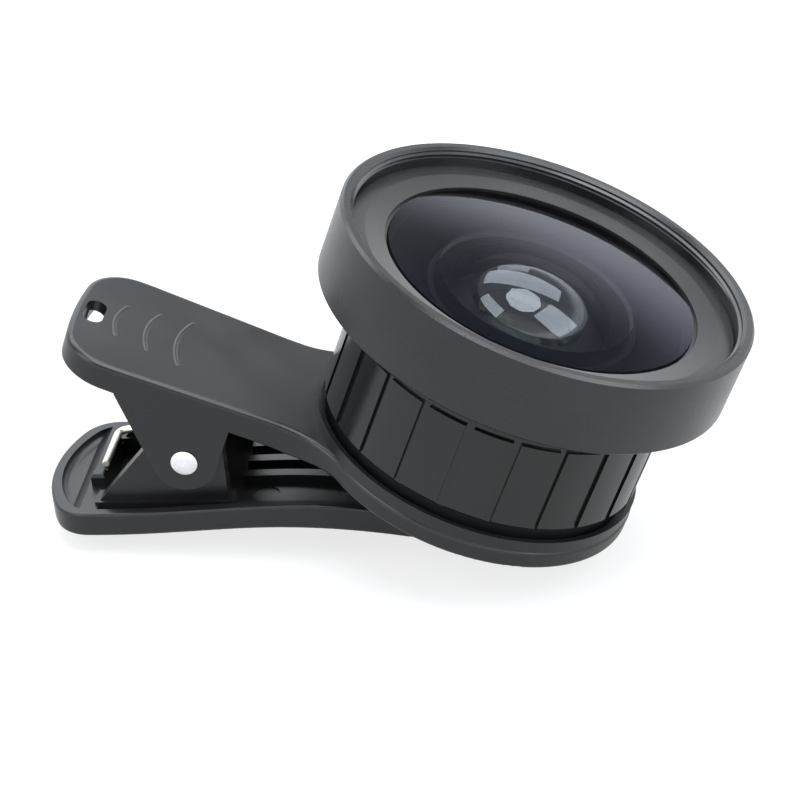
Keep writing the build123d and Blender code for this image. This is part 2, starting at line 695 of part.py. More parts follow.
def lower_arm():
    """Lower arm: arched trough with ribs, a dished thumb rest, ears and a flat tip."""
    tall = 4 * JAW_HEIGHT
    land_lift = JAW_LAND_T / math.cos(math.radians(JAW_ANGLE))
    arm = prism(jaw_plan(0), -4 * tall, 4 * tall) & jaw_slab((0, 0), (JAW_HEIGHT, land_lift))
    arm = fillet(edges_facing(arm, Vector(0, 0, -1)), JAW_FOOT_R)
    arm = fillet(edges_facing(arm, Vector(0, 0, 1)), JAW_LIP_R)
    hollow = prism(jaw_plan(JAW_RIM), -4 * tall, 4 * tall) & jaw_slab((JAW_FLOOR, JAW_FLOOR), (tall, tall))
    arm -= hollow & block(JAW_POCKET_TAIL_X, JAW_POCKET_END_X, -tall, tall, -tall, tall)
    arm -= thumb_dish()
    rib_band = jaw_slab((JAW_FLOOR / 2, JAW_FLOOR / 2), (JAW_FLOOR + JAW_RIB_H, JAW_FLOOR + JAW_RIB_H))
    for i in range(JAW_RIB_COUNT):
        y = JAW_RIB_FIRST_Y + i * JAW_RIB_PITCH
        arm += rib_band & block(
            JAW_RIB_START_X, JAW_POCKET_END_X + 0.5, y - JAW_RIB_W / 2, y + JAW_RIB_W / 2, -tall, tall
        )
    dimple_floor = JAW_ARCH_Z + JAW_FLOOR - DIMPLE_DEPTH
    arm -= Pos(DIMPLE_X, DIMPLE_Y, dimple_floor + JAW_FLOOR) * Cylinder(DIMPLE_R, 2 * JAW_FLOOR)
    for side in (1, -1):
        arm += lower_ear(side)
    return in_jaw(arm + spring_seat() - below_the_table())


def thumb_dish():
    """Hollow in the tail's top face, where a finger presses, with a ramp up to the spring."""
    half = 2 * JAW_HALF_W
    top = JAW_BASE_Z + JAW_HEIGHT
    floor = top - DISH_DEPTH
    ramp_x = DISH_END_X - DISH_RAMP
    hollow = prism(jaw_plan(JAW_RIM), floor, top + JAW_HEIGHT)
    bottom = hollow.faces().sort_by(Axis.Z)[0]
    hollow = fillet(bottom.edges().filter_by(lambda e: e.center().X < 0), DISH_EDGE_R)
    side = Polyline(
        (-half, floor - 1), (ramp_x, floor - 1), (ramp_x, floor), (DISH_END_X, top),
        (DISH_END_X, top + half), (-half, top + half), close=True,
    )
    return hollow & slab(make_face(side), -half, half)


def spring_seat():
    """Narrow rib that carries the spring's bar, with a rounded knob past the bar's free end."""
    front = JAW_POCKET_TAIL_X
    root = JAW_BASE_Z + JAW_FLOOR
    rib = block(front - SEAT_RIB_W, front, SEAT_RIB_LOW_Y, SEAT_RIB_HIGH_Y, root, SEAT_RIB_Z)
    knob_high_y = SEAT_RIB_LOW_Y
    knob_top = SEAT_RIB_Z + SEAT_KNOB_RISE
    knob = block(front - SEAT_KNOB_W, front, knob_high_y - SEAT_KNOB_L, knob_high_y, root, knob_top)
    knob = fillet(knob.faces().sort_by(Axis.Z)[-1].edges(), SEAT_KNOB_R)
    return rib + knob


def below_the_table():
    """All that would reach below the table, a little above the tail's lowest point."""
    reach = 4 * JAW_HALF_W
    under = Pos(0, 0, JAW_FOOT_FLAT - JAW_FOOT_R - reach / 2) * Box(2 * reach, reach, reach)
    return Pos(*tail_foot()) * Rot(0, JAW_ANGLE - rest_lean(), 0) * under


def lower_ear(side):
    """One ear of the lower arm on its plinth, bored for the rivet."""
    outer = UPPER_EAR_INNER_Y - EAR_SIDE_GAP
    inner = outer - LOWER_EAR_T
    root = JAW_BASE_Z + JAW_FLOOR / 2
    outline = hull_of(LOWER_EAR_R, [(LOWER_EAR_TAIL_X, PLINTH_Z), (LOWER_EAR_R, PLINTH_Z)])
    ear = slab(outline, inner, outer)
    middle = (inner + outer) / 2
    ear += block(
        LOWER_EAR_TAIL_X - PLINTH_OVERHANG,
        LOWER_EAR_R + PLINTH_OVERHANG,
        middle - PLINTH_W / 2,
        middle + PLINTH_W / 2,
        root,
        PLINTH_Z,
    )
    ear -= Rot(90, 0, 0) * Cylinder(PIN_R + PIVOT_CLEAR, 4 * JAW_HALF_W)
    return ear if side > 0 else mirror(ear, Plane.XZ)


def jaw_pad():
    """Soft pad on the lower arm's flat tip."""
    half = JAW_TIP_HALF_W - JAW_PAD_MARGIN
    low_x = JAW_LAND_X
    high_x = JAW_TIP_X - JAW_PAD_MARGIN
    outline = make_face(Polyline((low_x, -half), (high_x, -half), (high_x, half), (low_x, half), close=True))
    outline = fillet(outline.vertices().group_by(Axis.X)[-1], JAW_TIP_CORNER_R - JAW_PAD_MARGIN)
    return prism(outline, LEVEL_JAW_LAND, LEVEL_JAW_PAD)


def arc_edge(start, corner, end):
    """The arc that leaves start towards corner and reaches end from it, corner being midway."""
    reach = (corner - start).length
    weight = (end - start).length / (2 * reach)
    middle = (start + corner * (2 * weight) + end) / (2 + 2 * weight)
    return ThreePointArc(start, middle, end)


def biarc(start, start_dir, end, end_dir):
    """Two arcs that join smoothly between two points with given directions."""
    gap = end - start
    both = start_dir + end_dir
    a = both.dot(both) - 4
    b = -2 * gap.dot(both)
    c = gap.dot(gap)
    reach = (-b - math.sqrt(b * b - 4 * a * c)) / (2 * a)
    first = start + start_dir * reach
    second = end - end_dir * reach
    join = (first + second) / 2
    return [arc_edge(start, first, join), arc_edge(join, second, end)]


def coil_point(angle, y):
    """A point of the coil's centre line round the pin."""
    return Vector(COIL_MEAN_R * math.cos(angle), y, COIL_MEAN_R * math.sin(angle))


def coil_direction(angle):
    """The way that the wire runs at an angle, with the pitch taken towards -Y."""
    rise = -COIL_PITCH / (2 * math.pi)
    return Vector(-COIL_MEAN_R * math.sin(angle), rise, COIL_MEAN_R * math.cos(angle)).normalized()


def spring_angles():
    """The coil's first and last angle and the straight lengths of its two legs."""
    wire = WIRE_D / 2 + WIRE_GAP
    turn = math.radians(JAW_ANGLE)
    seat = SEAT_RIB_Z + wire
    reach = LOW_LEG_REACH
    low = (-reach * math.cos(turn) - seat * math.sin(turn), -reach * math.sin(turn) + seat * math.cos(turn))
    bar_x = PIN_X - HIGH_LEG_REACH
    high = (-HIGH_LEG_REACH, arm_top(bar_x) - ARM_PLATE_T - wire - PIN_Z)
    low_turn = math.atan2(low[1], low[0]) + 2 * math.pi + math.acos(COIL_MEAN_R / math.hypot(*low))
    high_turn = math.atan2(high[1], high[0]) - math.acos(COIL_MEAN_R / math.hypot(*high))
    low_leg = math.sqrt(low[0] ** 2 + low[1] ** 2 - COIL_MEAN_R**2)
    high_leg = math.sqrt(high[0] ** 2 + high[1] ** 2 - COIL_MEAN_R**2)
    return low_turn, high_turn + 2 * math.pi * (COIL_WHOLE_TURNS + 1), low_leg, high_leg


def leg(root, away, length, bar_dir):
    """Edges of a leg from the coil: a straight run, a bend and a cross bar."""
    corner = root + away * length
    bend_from = corner - away * LEG_BEND_R
    bend_to = corner + bar_dir * LEG_BEND_R
    return [
        Line(root, bend_from),
        arc_edge(bend_from, corner, bend_to),
        Line(bend_to, corner + bar_dir * LEG_BAR),
    ]


def spring_path():
    """The spring's whole centre line, in one run from the lower bar to the upper bar."""
    first, last, low_leg, high_leg = spring_angles()
    steps = math.ceil((last - first) / (2 * math.pi) * COIL_ARC_PAIRS)
    width = COIL_PITCH * (last - first) / (2 * math.pi)
    angles = [first + (last - first) * i / steps for i in range(steps + 1)]
    points = [coil_point(a, width / 2 - width * i / steps) for i, a in enumerate(angles)]
    edges = []
    for i in range(steps):
        edges += biarc(points[i], coil_direction(angles[i]), points[i + 1], coil_direction(angles[i + 1]))
    low = leg(points[0], -coil_direction(first), low_leg, Vector(0, -1, 0))
    high = leg(points[-1], coil_direction(last), high_leg, Vector(0, 1, 0))
    return low, edges, high


def torsion_spring():
    """Torsion spring round the rivet, with a leg pressing on each arm."""
    low, coil, high = spring_path()
    run = Wire(low[::-1] + coil + high)
    start = low[-1] @ 1
    section = Plane(origin=start, z_dir=Vector(0, 1, 0)) * Circle(WIRE_D / 2)
    spring = sweep(section, path=run)
    return Pos(PIN_X, 0, PIN_Z) * spring


def least_coil_gap():
    """The smallest clear distance between neighbouring turns, measured on points."""
    coil = spring_path()[1]
    per_edge = 16
    points = [edge @ (k / per_edge) for edge in coil for k in range(per_edge)]
    most_of_turn = per_edge * 2 * COIL_ARC_PAIRS * 3 // 4
    gaps = []
    for i, here in enumerate(points):
        for there in points[i + most_of_turn:]:
            gaps.append((here - there).length - WIRE_D)
    return min(gaps)


def tail_foot():
    """The middle of the rounded edge under the lower arm's tail, in the jaw frame."""
    return (JAW_TAIL_X + JAW_FOOT_R, 0, JAW_BASE_Z + JAW_FOOT_R)


def rest_lean():
    """How far the lens axis leans when the object lies on its tail and the far edge of its head."""
    corner_x, _, corner_z = tail_foot()
    tail_reach = JAW_FOOT_R - JAW_FOOT_FLAT
    turn = math.radians(JAW_ANGLE)
    tail_x = PIN_X + corner_x * math.cos(turn) - corner_z * math.sin(turn)
    tail_z = PIN_Z + corner_x * math.sin(turn) + corner_z * math.cos(turn)
    feet = [(HEAD_PAD_R, -HEAD_PAD_T, 0), (HEAD_R - HEAD_FOOT_R, HEAD_FOOT_R, HEAD_FOOT_R)]
    leans = []
    for x, z, radius in feet:
        span = math.hypot(x - tail_x, z - tail_z)
        leans.append(math.atan2(z - tail_z, x - tail_x) + math.asin((tail_reach - radius) / span))
    return math.degrees(min(leans))


PIECES = {
    "front_ring": front_ring,
    "front_bezel": front_bezel,
    "front_element": front_element,
    "grip_barrel": grip_barrel,
    "inner_cell": inner_cell,
    "field_stop": field_stop,
    "middle_element": middle_element,
    "rear_spacer": rear_spacer,
    "rear_element": rear_element,
    "rear_retaining_ring": rear_retaining_ring,
    "macro_barrel": macro_barrel,
    "macro_element": macro_element,
    "macro_retaining_ring": macro_retaining_ring,
    "upper_arm": upper_arm,
    "head_pad": head_pad,
    "hinge_rivet": hinge_rivet,
    "torsion_spring": torsion_spring,
    "lower_arm": lower_arm,
    "jaw_pad": jaw_pad,
}

os.makedirs("parts", exist_ok=True)
lean = Rot(0, rest_lean(), 0)
pieces = {name: lean * make() for name, make in PIECES.items()}
box = Compound(list(pieces.values())).bounding_box()
to_origin = Pos(-box.center().X, -box.center().Y, -box.min.Z)
for name, piece in pieces.items():
    placed = to_origin * piece
    placed.label = name
    export_step(placed, f"parts/{name}.step")

print("lens axis leans by", round(rest_lean(), 3), "degrees")
print("lens frame origin in the stored frame", [round(v, 4) for v in (to_origin * Vertex(0, 0, 0)).center()])
print("least gap between coil turns", round(least_coil_gap(), 3), "mm")
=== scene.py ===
import json
import math

import bpy
from mathutils import Matrix, Vector

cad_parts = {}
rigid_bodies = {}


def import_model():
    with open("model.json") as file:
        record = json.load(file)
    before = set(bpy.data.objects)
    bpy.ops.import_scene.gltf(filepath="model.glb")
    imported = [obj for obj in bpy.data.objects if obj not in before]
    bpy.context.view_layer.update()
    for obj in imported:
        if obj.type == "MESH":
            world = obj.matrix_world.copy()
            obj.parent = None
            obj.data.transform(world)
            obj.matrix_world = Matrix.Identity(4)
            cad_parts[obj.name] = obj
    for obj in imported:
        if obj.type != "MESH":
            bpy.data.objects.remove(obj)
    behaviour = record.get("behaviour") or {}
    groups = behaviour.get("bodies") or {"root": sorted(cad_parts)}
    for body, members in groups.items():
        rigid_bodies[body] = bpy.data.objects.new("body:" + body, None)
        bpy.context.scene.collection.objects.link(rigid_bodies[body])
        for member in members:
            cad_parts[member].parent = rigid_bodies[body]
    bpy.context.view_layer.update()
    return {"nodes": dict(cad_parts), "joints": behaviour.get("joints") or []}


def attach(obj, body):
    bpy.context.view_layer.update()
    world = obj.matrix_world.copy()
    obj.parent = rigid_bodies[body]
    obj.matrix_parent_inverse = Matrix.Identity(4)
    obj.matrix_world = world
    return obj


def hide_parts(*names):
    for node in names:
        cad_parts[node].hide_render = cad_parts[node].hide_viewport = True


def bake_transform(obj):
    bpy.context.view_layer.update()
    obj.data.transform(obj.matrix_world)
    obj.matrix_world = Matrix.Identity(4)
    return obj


for leftover in list(bpy.data.objects):
    bpy.data.objects.remove(leftover)
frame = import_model()
nodes = frame["nodes"]
joints = {joint["name"]: joint for joint in frame["joints"]}

# The lens frame is in millimetres. Its origin is on the lens axis at the underside of the clip's
# head, +Z runs along the lens axis, +Y along the hinge pin and +X away from the clip's tail.
# FLANGE_Z is the height in it of the point that the lens_turn joint gives.
MM = 0.001
FLANGE_Z = 2.7
LENS_AXIS = Vector(joints["lens_turn"]["axis"]).normalized()
PIN_AXIS = Vector((0, 1, 0))
HEAD_AXIS = PIN_AXIS.cross(LENS_AXIS)
TURNED = Matrix((HEAD_AXIS, PIN_AXIS, LENS_AXIS)).transposed()
LENS_ORIGIN = Vector(joints["lens_turn"]["pos_m"]) - LENS_AXIS * FLANGE_Z * MM


def from_lens(x, y, z):
    """A lens frame point given in millimetres, in the model's frame in metres."""
    return LENS_ORIGIN + TURNED @ (Vector((x, y, z)) * MM)


def turned_point(radius, angle, z):
    """A point at a radius, an angle and a height round the lens axis, in the model's frame."""
    return from_lens(radius * math.cos(angle), radius * math.sin(angle), z)


def linked(name, data):
    """A new object of the scene that holds this data."""
    item = bpy.data.objects.new(name, data)
    bpy.context.scene.collection.objects.link(item)
    return item


def give_materials(mesh, materials):
    """Makes these materials the slots of a mesh, in order."""
    mesh.materials.clear()
    for material in materials:
        mesh.materials.append(material)


def mesh_piece(name, verts, faces, materials=()):
    """A new object with a mesh of these corners and faces."""
    mesh = bpy.data.meshes.new(name)
    mesh.from_pydata(verts, [], faces)
    give_materials(mesh, materials)
    mesh.update()
    return linked(name, mesh)


# Camera: its place and its three axes in the lens frame, its lens and film width in millimetres,
# and the nearest and furthest that it sees in metres.
CAMERA_PLACE = (-30.56, -242.84, 152.41)
CAMERA_RIGHT = (0.946948, 0.106497, 0.303227)
CAMERA_UP = (-0.31374, 0.510892, 0.800347)
CAMERA_BACK = (-0.069682, -0.853023, 0.517201)
CAMERA_LENS = 103.23
CAMERA_FILM = 36
CAMERA_NEAR = 0.01
CAMERA_FAR = 20


def make_camera():
    """The camera at the viewing angle of the picture."""
    data = bpy.data.cameras.new("view_camera")
    data.sensor_width = CAMERA_FILM
    data.lens = CAMERA_LENS
    data.clip_start = CAMERA_NEAR
    data.clip_end = CAMERA_FAR
    camera = linked("view_camera", data)
    turned = TURNED @ Matrix((CAMERA_RIGHT, CAMERA_UP, CAMERA_BACK)).transposed()
    camera.matrix_world = Matrix.Translation(from_lens(*CAMERA_PLACE)) @ turned.to_4x4()
    bpy.context.scene.camera = camera


make_camera()


# Materials: the shares of a colour's change that follow the fine grain and the broad blotches,
# the share by which a roughness varies, and the refraction of the glass.
FINE_SHARE = 0.6
BROAD_SHARE = 0.4
GLOSS_CHANGE = 0.12
GLASS_IOR = 1.52


def new_material(name):
    """A node material with only its output, as the material, its tree and that output."""
    material = bpy.data.materials.new(name)
    material.use_nodes = True
    tree = material.node_tree
    tree.nodes.clear()
    output = tree.nodes.new("ShaderNodeOutputMaterial")
    return material, tree, output


def add(tree, kind, **settings):
    """A node of a kind, with its properties, or its sockets' values, set by name."""
    node = tree.nodes.new("ShaderNode" + kind)
    for key, value in settings.items():
        if hasattr(node, key):
            setattr(node, key, value)
        else:
            node.inputs[key.replace("_", " ")].default_value = value
    return node


def noise(tree, coords, scale, detail, roughness):
    """A noise texture in object space; scale is in cells per metre."""
    node = add(tree, "TexNoise", Scale=scale, Detail=detail, Roughness=roughness)
    tree.links.new(coords.outputs["Object"], node.inputs["Vector"])
    return node


def spread(tree, source, low, high, from_low=0.3, from_high=0.7):
    """Maps a value to a range. Unless told otherwise, it maps the middle of a noise's values."""
    node = add(tree, "MapRange", From_Min=from_low, From_Max=from_high, To_Min=low, To_Max=high)
    tree.links.new(source, node.inputs["Value"])
    return node


def surface(
    name,
    color,
    rough,
    grain=4000,
    blotch=60,
    bump=0.0,
    bump_step=0.00002,
    metallic=0.0,
    specular=0.5,
    shade=0.15,
    wear=0.0,
):
    """A moulded, anodised or metal surface with fine grain and soft changes of tone and gloss.

    grain and blotch are noise cells per metre, and bump_step is the relief's height in metres.
    shade is the share by which the colour varies, and wear is added to where it is palest.
    """
    material, tree, output = new_material(name)
    coords = add(tree, "TexCoord")
    shader = add(tree, "BsdfPrincipled", Metallic=metallic, Specular_IOR_Level=specular)
    fine = noise(tree, coords, grain, detail=3.0, roughness=0.6)
    broad = noise(tree, coords, blotch, detail=3.0, roughness=0.55)
    both = add(tree, "Math", operation="ADD")
    for i, (source, share) in enumerate(((fine, FINE_SHARE), (broad, BROAD_SHARE))):
        part = spread(tree, source.outputs["Fac"], 0.0, share)
        tree.links.new(part.outputs["Result"], both.inputs[i])
    tone = add(tree, "Mix", data_type="RGBA", blend_type="MIX")
    tone.inputs["A"].default_value = [c * (1 - shade) for c in color] + [1]
    tone.inputs["B"].default_value = [min(c * (1 + shade) + wear, 1) for c in color] + [1]
    tree.links.new(both.outputs["Value"], tone.inputs["Factor"])
    tree.links.new(tone.outputs["Result"], shader.inputs["Base Color"])
    smoothest = rough * (1 - GLOSS_CHANGE)
    roughest = rough * (1 + GLOSS_CHANGE)
    gloss = spread(tree, broad.outputs["Fac"], smoothest, roughest)
    tree.links.new(gloss.outputs["Result"], shader.inputs["Roughness"])
    if bump:
        relief = add(tree, "Bump", Strength=bump, Distance=bump_step)
        tree.links.new(fine.outputs["Fac"], relief.inputs["Height"])
        tree.links.new(relief.outputs["Normal"], shader.inputs["Normal"])
    tree.links.new(shader.outputs["BSDF"], output.inputs["Surface"])
    return material


def glass(name, tint, film, film_ior, specular=0.5):
    """Glass with a tint and a thin coating that colours what it reflects; film is in nanometres.
    """
    material, tree, output = new_material(name)
    shader = add(
        tree,
        "BsdfPrincipled",
        Base_Color=(*tint, 1),
        Roughness=0.0,
        IOR=GLASS_IOR,
        Specular_IOR_Level=specular,
        Transmission_Weight=1.0,
        Thin_Film_Thickness=film,
        Thin_Film_IOR=film_ior,
    )
    tree.links.new(shader.outputs["BSDF"], output.inputs["Surface"])
    return material


RING_ANODISED = surface(
    "ring_anodised", (0.012, 0.0119, 0.0122), 0.28, grain=5200, bump=0.55, bump_step=0.00003,
    specular=0.55, shade=0.35, wear=0.006,
)
BARREL_ANODISED = surface(
    "barrel_anodised", (0.006, 0.006, 0.0061), 0.2, grain=3600, bump=0.12, specular=0.55, shade=0.2
)
BEZEL_ANODISED = surface(
    "bezel_anodised", (0.03, 0.03, 0.031), 0.26, grain=6000, bump=0.12, specular=0.6
)
CLIP_PLASTIC = surface(
    "clip_plastic", (0.012, 0.012, 0.0125), 0.3, grain=3800, blotch=90, bump=0.16, shade=0.2
)
INNER_BLACK = surface("inner_black", (0.003, 0.003, 0.0032), 0.6, specular=0.15, shade=0.2)
EDGE_BLACK = surface("edge_black", (0.004, 0.004, 0.0045), 0.55, specular=0.2, shade=0.1)
MACRO_BLACK = surface("macro_black", (0.004, 0.004, 0.0045), 0.5, specular=0.25, shade=0.2)
PAD_RUBBER = surface(
    "pad_rubber", (0.016, 0.016, 0.016), 0.75, grain=2500, bump=0.35, specular=0.3, shade=0.25
)
RIVET_METAL = surface(
    "rivet_metal", (0.9, 0.91, 0.92), 0.24, grain=1800, blotch=500, metallic=1.0, shade=0.05
)
WIRE_METAL = surface(
    "wire_metal", (0.92, 0.86, 0.75), 0.45, grain=1500, blotch=300, metallic=1.0, shade=0.08
)
FRONT_GLASS = glass("front_glass", (1, 1, 1), 140, 1.38)
HOLLOW_GLASS = glass("hollow_glass", (1, 1, 1), 84, 1.62)
INNER_GLASS = glass("inner_glass", (0.93, 1.0, 0.97), 95, 1.38)
# Middle and rear glass: teal for their coatings, darkened as painted shade deep in the lens.
SHADE_DARKENED_GLASS = glass("shade_darkened_glass", (0.3, 0.42, 0.42), 95, 1.38, specular=0.25)

NODE_MATERIALS = {
    "front_ring": RING_ANODISED,
    "front_bezel": BEZEL_ANODISED,
    "grip_barrel": BARREL_ANODISED,
    "macro_barrel": MACRO_BLACK,
    "inner_cell": INNER_BLACK,
    "field_stop": INNER_BLACK,
    "rear_spacer": INNER_BLACK,
    "rear_retaining_ring": INNER_BLACK,
    "macro_retaining_ring": INNER_BLACK,
    "upper_arm": CLIP_PLASTIC,
    "lower_arm": CLIP_PLASTIC,
    "head_pad": PAD_RUBBER,
    "jaw_pad": PAD_RUBBER,
    "hinge_rivet": RIVET_METAL,
    "torsion_spring": WIRE_METAL,
    "front_element": FRONT_GLASS,
    "middle_element": SHADE_DARKENED_GLASS,
    "rear_element": SHADE_DARKENED_GLASS,
    "macro_element": INNER_GLASS,
}
for name, material in NODE_MATERIALS.items():
    give_materials(nodes[name].data, [material])


# Front glass: radii and heights in the lens frame. The hollow is ground into its back. A turned
# edge sharper than SHARP_ANGLE degrees stays crisp, and a face of the inner glasses counts as
# their rim where it faces less than RIM_FACING along the axis.
GLASS_R = 19.9
GLASS_FACE_R = 19.25
GLASS_SEAT_Z = 22.25
GLASS_SHOULDER_Z = 26.95
GLASS_EDGE_Z = 27.75
GLASS_APEX_Z = 29.05
GLASS_CONE_R = 18.0
GLASS_REAR_R = 12.6
GLASS_REAR_Z = 17.65
HOLLOW_R = 11.9
HOLLOW_EDGE_Z = 21.63
HOLLOW_APEX_Z = 26.64
FACE_STEPS = 40
HOLLOW_STEPS = 48
TURNED_STEPS = 192
SHARP_ANGLE = 20
RIM_FACING = 0.3
CLEAR_FACE, BLACK_FACE, HOLLOW_FACE = range(3)


def cap_arc(apex_z, edge_r, edge_z, steps):
    """Points of the arc from the axis at one height to an edge at another."""
    rise = apex_z - edge_z
    radius = (edge_r**2 + rise**2) / (2 * rise)
    widest = math.atan2(edge_r, radius - rise)
    points = []
    for i in range(steps + 1):
        turn = widest * i / steps
        points.append((radius * math.sin(turn), apex_z - radius * (1 - math.cos(turn))))
    return points


def turned_piece(name, outline):
    """A closed turned piece from (radius, height) points that start and end on the lens axis."""
    steps = TURNED_STEPS
    verts = [from_lens(0, 0, outline[0][1]), from_lens(0, 0, outline[-1][1])]
    rows = outline[1:-1]
    for radius, z in rows:
        for k in range(steps):
            verts.append(turned_point(radius, 2 * math.pi * k / steps, z))
    faces = []
    last = 2 + (len(rows) - 1) * steps
    for k in range(steps):
        after = (k + 1) % steps
        faces.append((0, 2 + k, 2 + after))
        faces.append((1, last + after, last + k))
        for i in range(len(rows) - 1):
            low = 2 + i * steps
            faces.append((low + k, low + steps + k, low + steps + after, low + after))
    piece = mesh_piece(name, verts, faces)
    for face in piece.data.polygons:
        face.use_smooth = True
    piece.data.set_sharp_from_angle(angle=math.radians(SHARP_ANGLE))
    return piece


def finish_faces(mesh, choose, materials):
    """Gives each face of a glass the slot that a choice by radius, height and facing names."""
    give_materials(mesh, materials)
    to_lens = TURNED.transposed()
    for face in mesh.polygons:
        spot = to_lens @ (face.center - LENS_ORIGIN) / MM
        facing = to_lens @ face.normal
        face.material_index = choose(math.hypot(spot.x, spot.y), spot.z, facing.z)


def front_finish(radius, z, _facing):
    """The front glass is clear on its domed face and in its hollow, and black elsewhere."""
    if z > GLASS_EDGE_Z:
        return CLEAR_FACE
    return HOLLOW_FACE if radius < HOLLOW_R and z > HOLLOW_EDGE_Z else BLACK_FACE


def inner_finish(_radius, _z, facing):
    """An inner glass is clear on its two faces and black round its rim."""
    return CLEAR_FACE if abs(facing) > RIM_FACING else BLACK_FACE


def front_glass():
    """The large front glass, whose face stands in the bezel's mouth."""
    face = cap_arc(GLASS_APEX_Z, GLASS_FACE_R, GLASS_EDGE_Z, FACE_STEPS)
    hollow = cap_arc(HOLLOW_APEX_Z, HOLLOW_R, HOLLOW_EDGE_Z, HOLLOW_STEPS)
    side = [
        (GLASS_FACE_R, GLASS_SHOULDER_Z),
        (GLASS_R, GLASS_SHOULDER_Z),
        (GLASS_R, GLASS_SEAT_Z),
        (GLASS_CONE_R, GLASS_SEAT_Z),
        (GLASS_REAR_R, GLASS_REAR_Z),
        (HOLLOW_R, GLASS_REAR_Z),
    ]
    piece = turned_piece("front_glass", face + side + hollow[::-1])
    finish_faces(piece.data, front_finish, (FRONT_GLASS, EDGE_BLACK, HOLLOW_GLASS))
    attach(piece, "wide_lens")
    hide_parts("front_element")


front_glass()
for small in ("middle_element", "rear_element", "macro_element"):
    finish_faces(nodes[small].data, inner_finish, (NODE_MATERIALS[small], EDGE_BLACK))


# Filter thread: the ridge's foot is sunk in the wall, its crest is flat between two shares of the
# pitch, and it fades out over some of its steps at both ends.
THREAD_ROOT_R = 24.5
THREAD_SINK = 0.03
THREAD_DEPTH = 0.3
THREAD_PITCH = 0.5
THREAD_CREST = (0.45, 0.55)
THREAD_LOW = 28.95
THREAD_HIGH = 30.25
THREAD_TURN_STEPS = 180
THREAD_FADE_STEPS = 24


def filter_thread():
    """The fine thread inside the front ring's mouth, as one turned helical ridge."""
    turns = (THREAD_HIGH - THREAD_LOW - THREAD_PITCH) / THREAD_PITCH
    steps = int(turns * THREAD_TURN_STEPS)
    foot = THREAD_ROOT_R + THREAD_SINK
    crest_low, crest_high = THREAD_CREST
    rows = []
    for i in range(steps + 1):
        angle = 2 * math.pi * turns * i / steps
        base = THREAD_LOW + THREAD_PITCH * turns * i / steps
        fade = min(1, i / THREAD_FADE_STEPS, (steps - i) / THREAD_FADE_STEPS)
        crest = THREAD_ROOT_R - THREAD_DEPTH * fade
        row = (
            (foot, base),
            (crest, base + crest_low * THREAD_PITCH),
            (crest, base + crest_high * THREAD_PITCH),
            (foot, base + THREAD_PITCH),
        )
        rows.append([turned_point(radius, angle, z) for radius, z in row])
    verts = [point for row in rows for point in row]
    wide = len(rows[0])
    faces = []
    for i in range(steps):
        for a in range(wide * i, wide * (i + 1) - 1):
            faces.append((a, a + 1, a + wide + 1, a + wide))
    piece = mesh_piece("filter_thread", verts, faces, [BEZEL_ANODISED])
    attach(piece, "wide_lens")


filter_thread()


# Spring, in millimetres: its legs press on a rib of the lower arm and on the plate of the upper
# arm, which climbs at ARM_RISE degrees over ARM_RUN, from its knee to the high leg's cross bar.
# LOW_SEAT_Z is a height in the closed jaw's own frame, whose origin is the pin, and HIGH_SEAT_Z
# is a height above the pin in the lens frame.
HEAD_T = 2.6
ARM_RISE = 1.9
ARM_RUN = 22.2
ARM_PLATE_T = 1.45
SEAT_RIB_Z = -5.9
JAW_ANGLE = math.radians(22)
PIN_X = -33.6
PIN_Z = -6.65
PIN_LENS = Vector((PIN_X, 0, PIN_Z))
WIRE_R = 0.5
WIRE_GAP = 0.05
WIRE_SIDES = 20
COIL_R = 2.6
COIL_PITCH = 1.97
COIL_WHOLE_TURNS = 4
COIL_TURN_STEPS = 56
LOW_REACH = 12.5
LOW_SEAT_Z = SEAT_RIB_Z + WIRE_R + WIRE_GAP
HIGH_REACH = 11.6
ARM_TOP_Z = HEAD_T + math.tan(math.radians(ARM_RISE)) * ARM_RUN
HIGH_SEAT_Z = ARM_TOP_Z - ARM_PLATE_T - WIRE_R - WIRE_GAP - PIN_Z
LEG_BAR = 8.0
LEG_BEND_R = 1.3
LEG_STEPS = 4
BEND_STEPS = 12
BAR_STEPS = 6
CUT_ROUNDING = 0.12
CUT_STEPS = 4


def coil_angles():
    """The angles round the pin at which the two legs leave the coil, and the legs' lengths."""
    low_x = -LOW_REACH * math.cos(JAW_ANGLE) - LOW_SEAT_Z * math.sin(JAW_ANGLE)
    low_z = -LOW_REACH * math.sin(JAW_ANGLE) + LOW_SEAT_Z * math.cos(JAW_ANGLE)
    low_span = math.hypot(low_x, low_z)
    high_span = math.hypot(HIGH_REACH, HIGH_SEAT_Z)
    first = math.atan2(low_z, low_x) + 2 * math.pi + math.acos(COIL_R / low_span)
    last = math.atan2(HIGH_SEAT_Z, -HIGH_REACH) - math.acos(COIL_R / high_span)
    last += 2 * math.pi * (COIL_WHOLE_TURNS + 1)
    low_leg = math.sqrt(low_span**2 - COIL_R**2)
    high_leg = math.sqrt(high_span**2 - COIL_R**2)
    return first, last, low_leg, high_leg


def coil_tangent(angle):
    """The way that the wire runs at an angle round the pin."""
    rise = -COIL_PITCH / (2 * math.pi)
    return Vector((-COIL_R * math.sin(angle), rise, COIL_R * math.cos(angle))).normalized()


def leg_line(root, away, length, bar):
    """A leg's centre line: straight from the coil, round a bend and along its cross bar."""
    corner = root + away * length
    start = corner - away * LEG_BEND_R
    end = corner + bar * LEG_BEND_R
    line = [root + away * (length - LEG_BEND_R) * i / LEG_STEPS for i in range(LEG_STEPS + 1)]
    for i in range(1, BEND_STEPS):
        t = i / BEND_STEPS
        line.append(start * (1 - t) ** 2 + corner * 2 * t * (1 - t) + end * t**2)
    line += [end + bar * (LEG_BAR - LEG_BEND_R) * i / BAR_STEPS for i in range(BAR_STEPS + 1)]
    return line


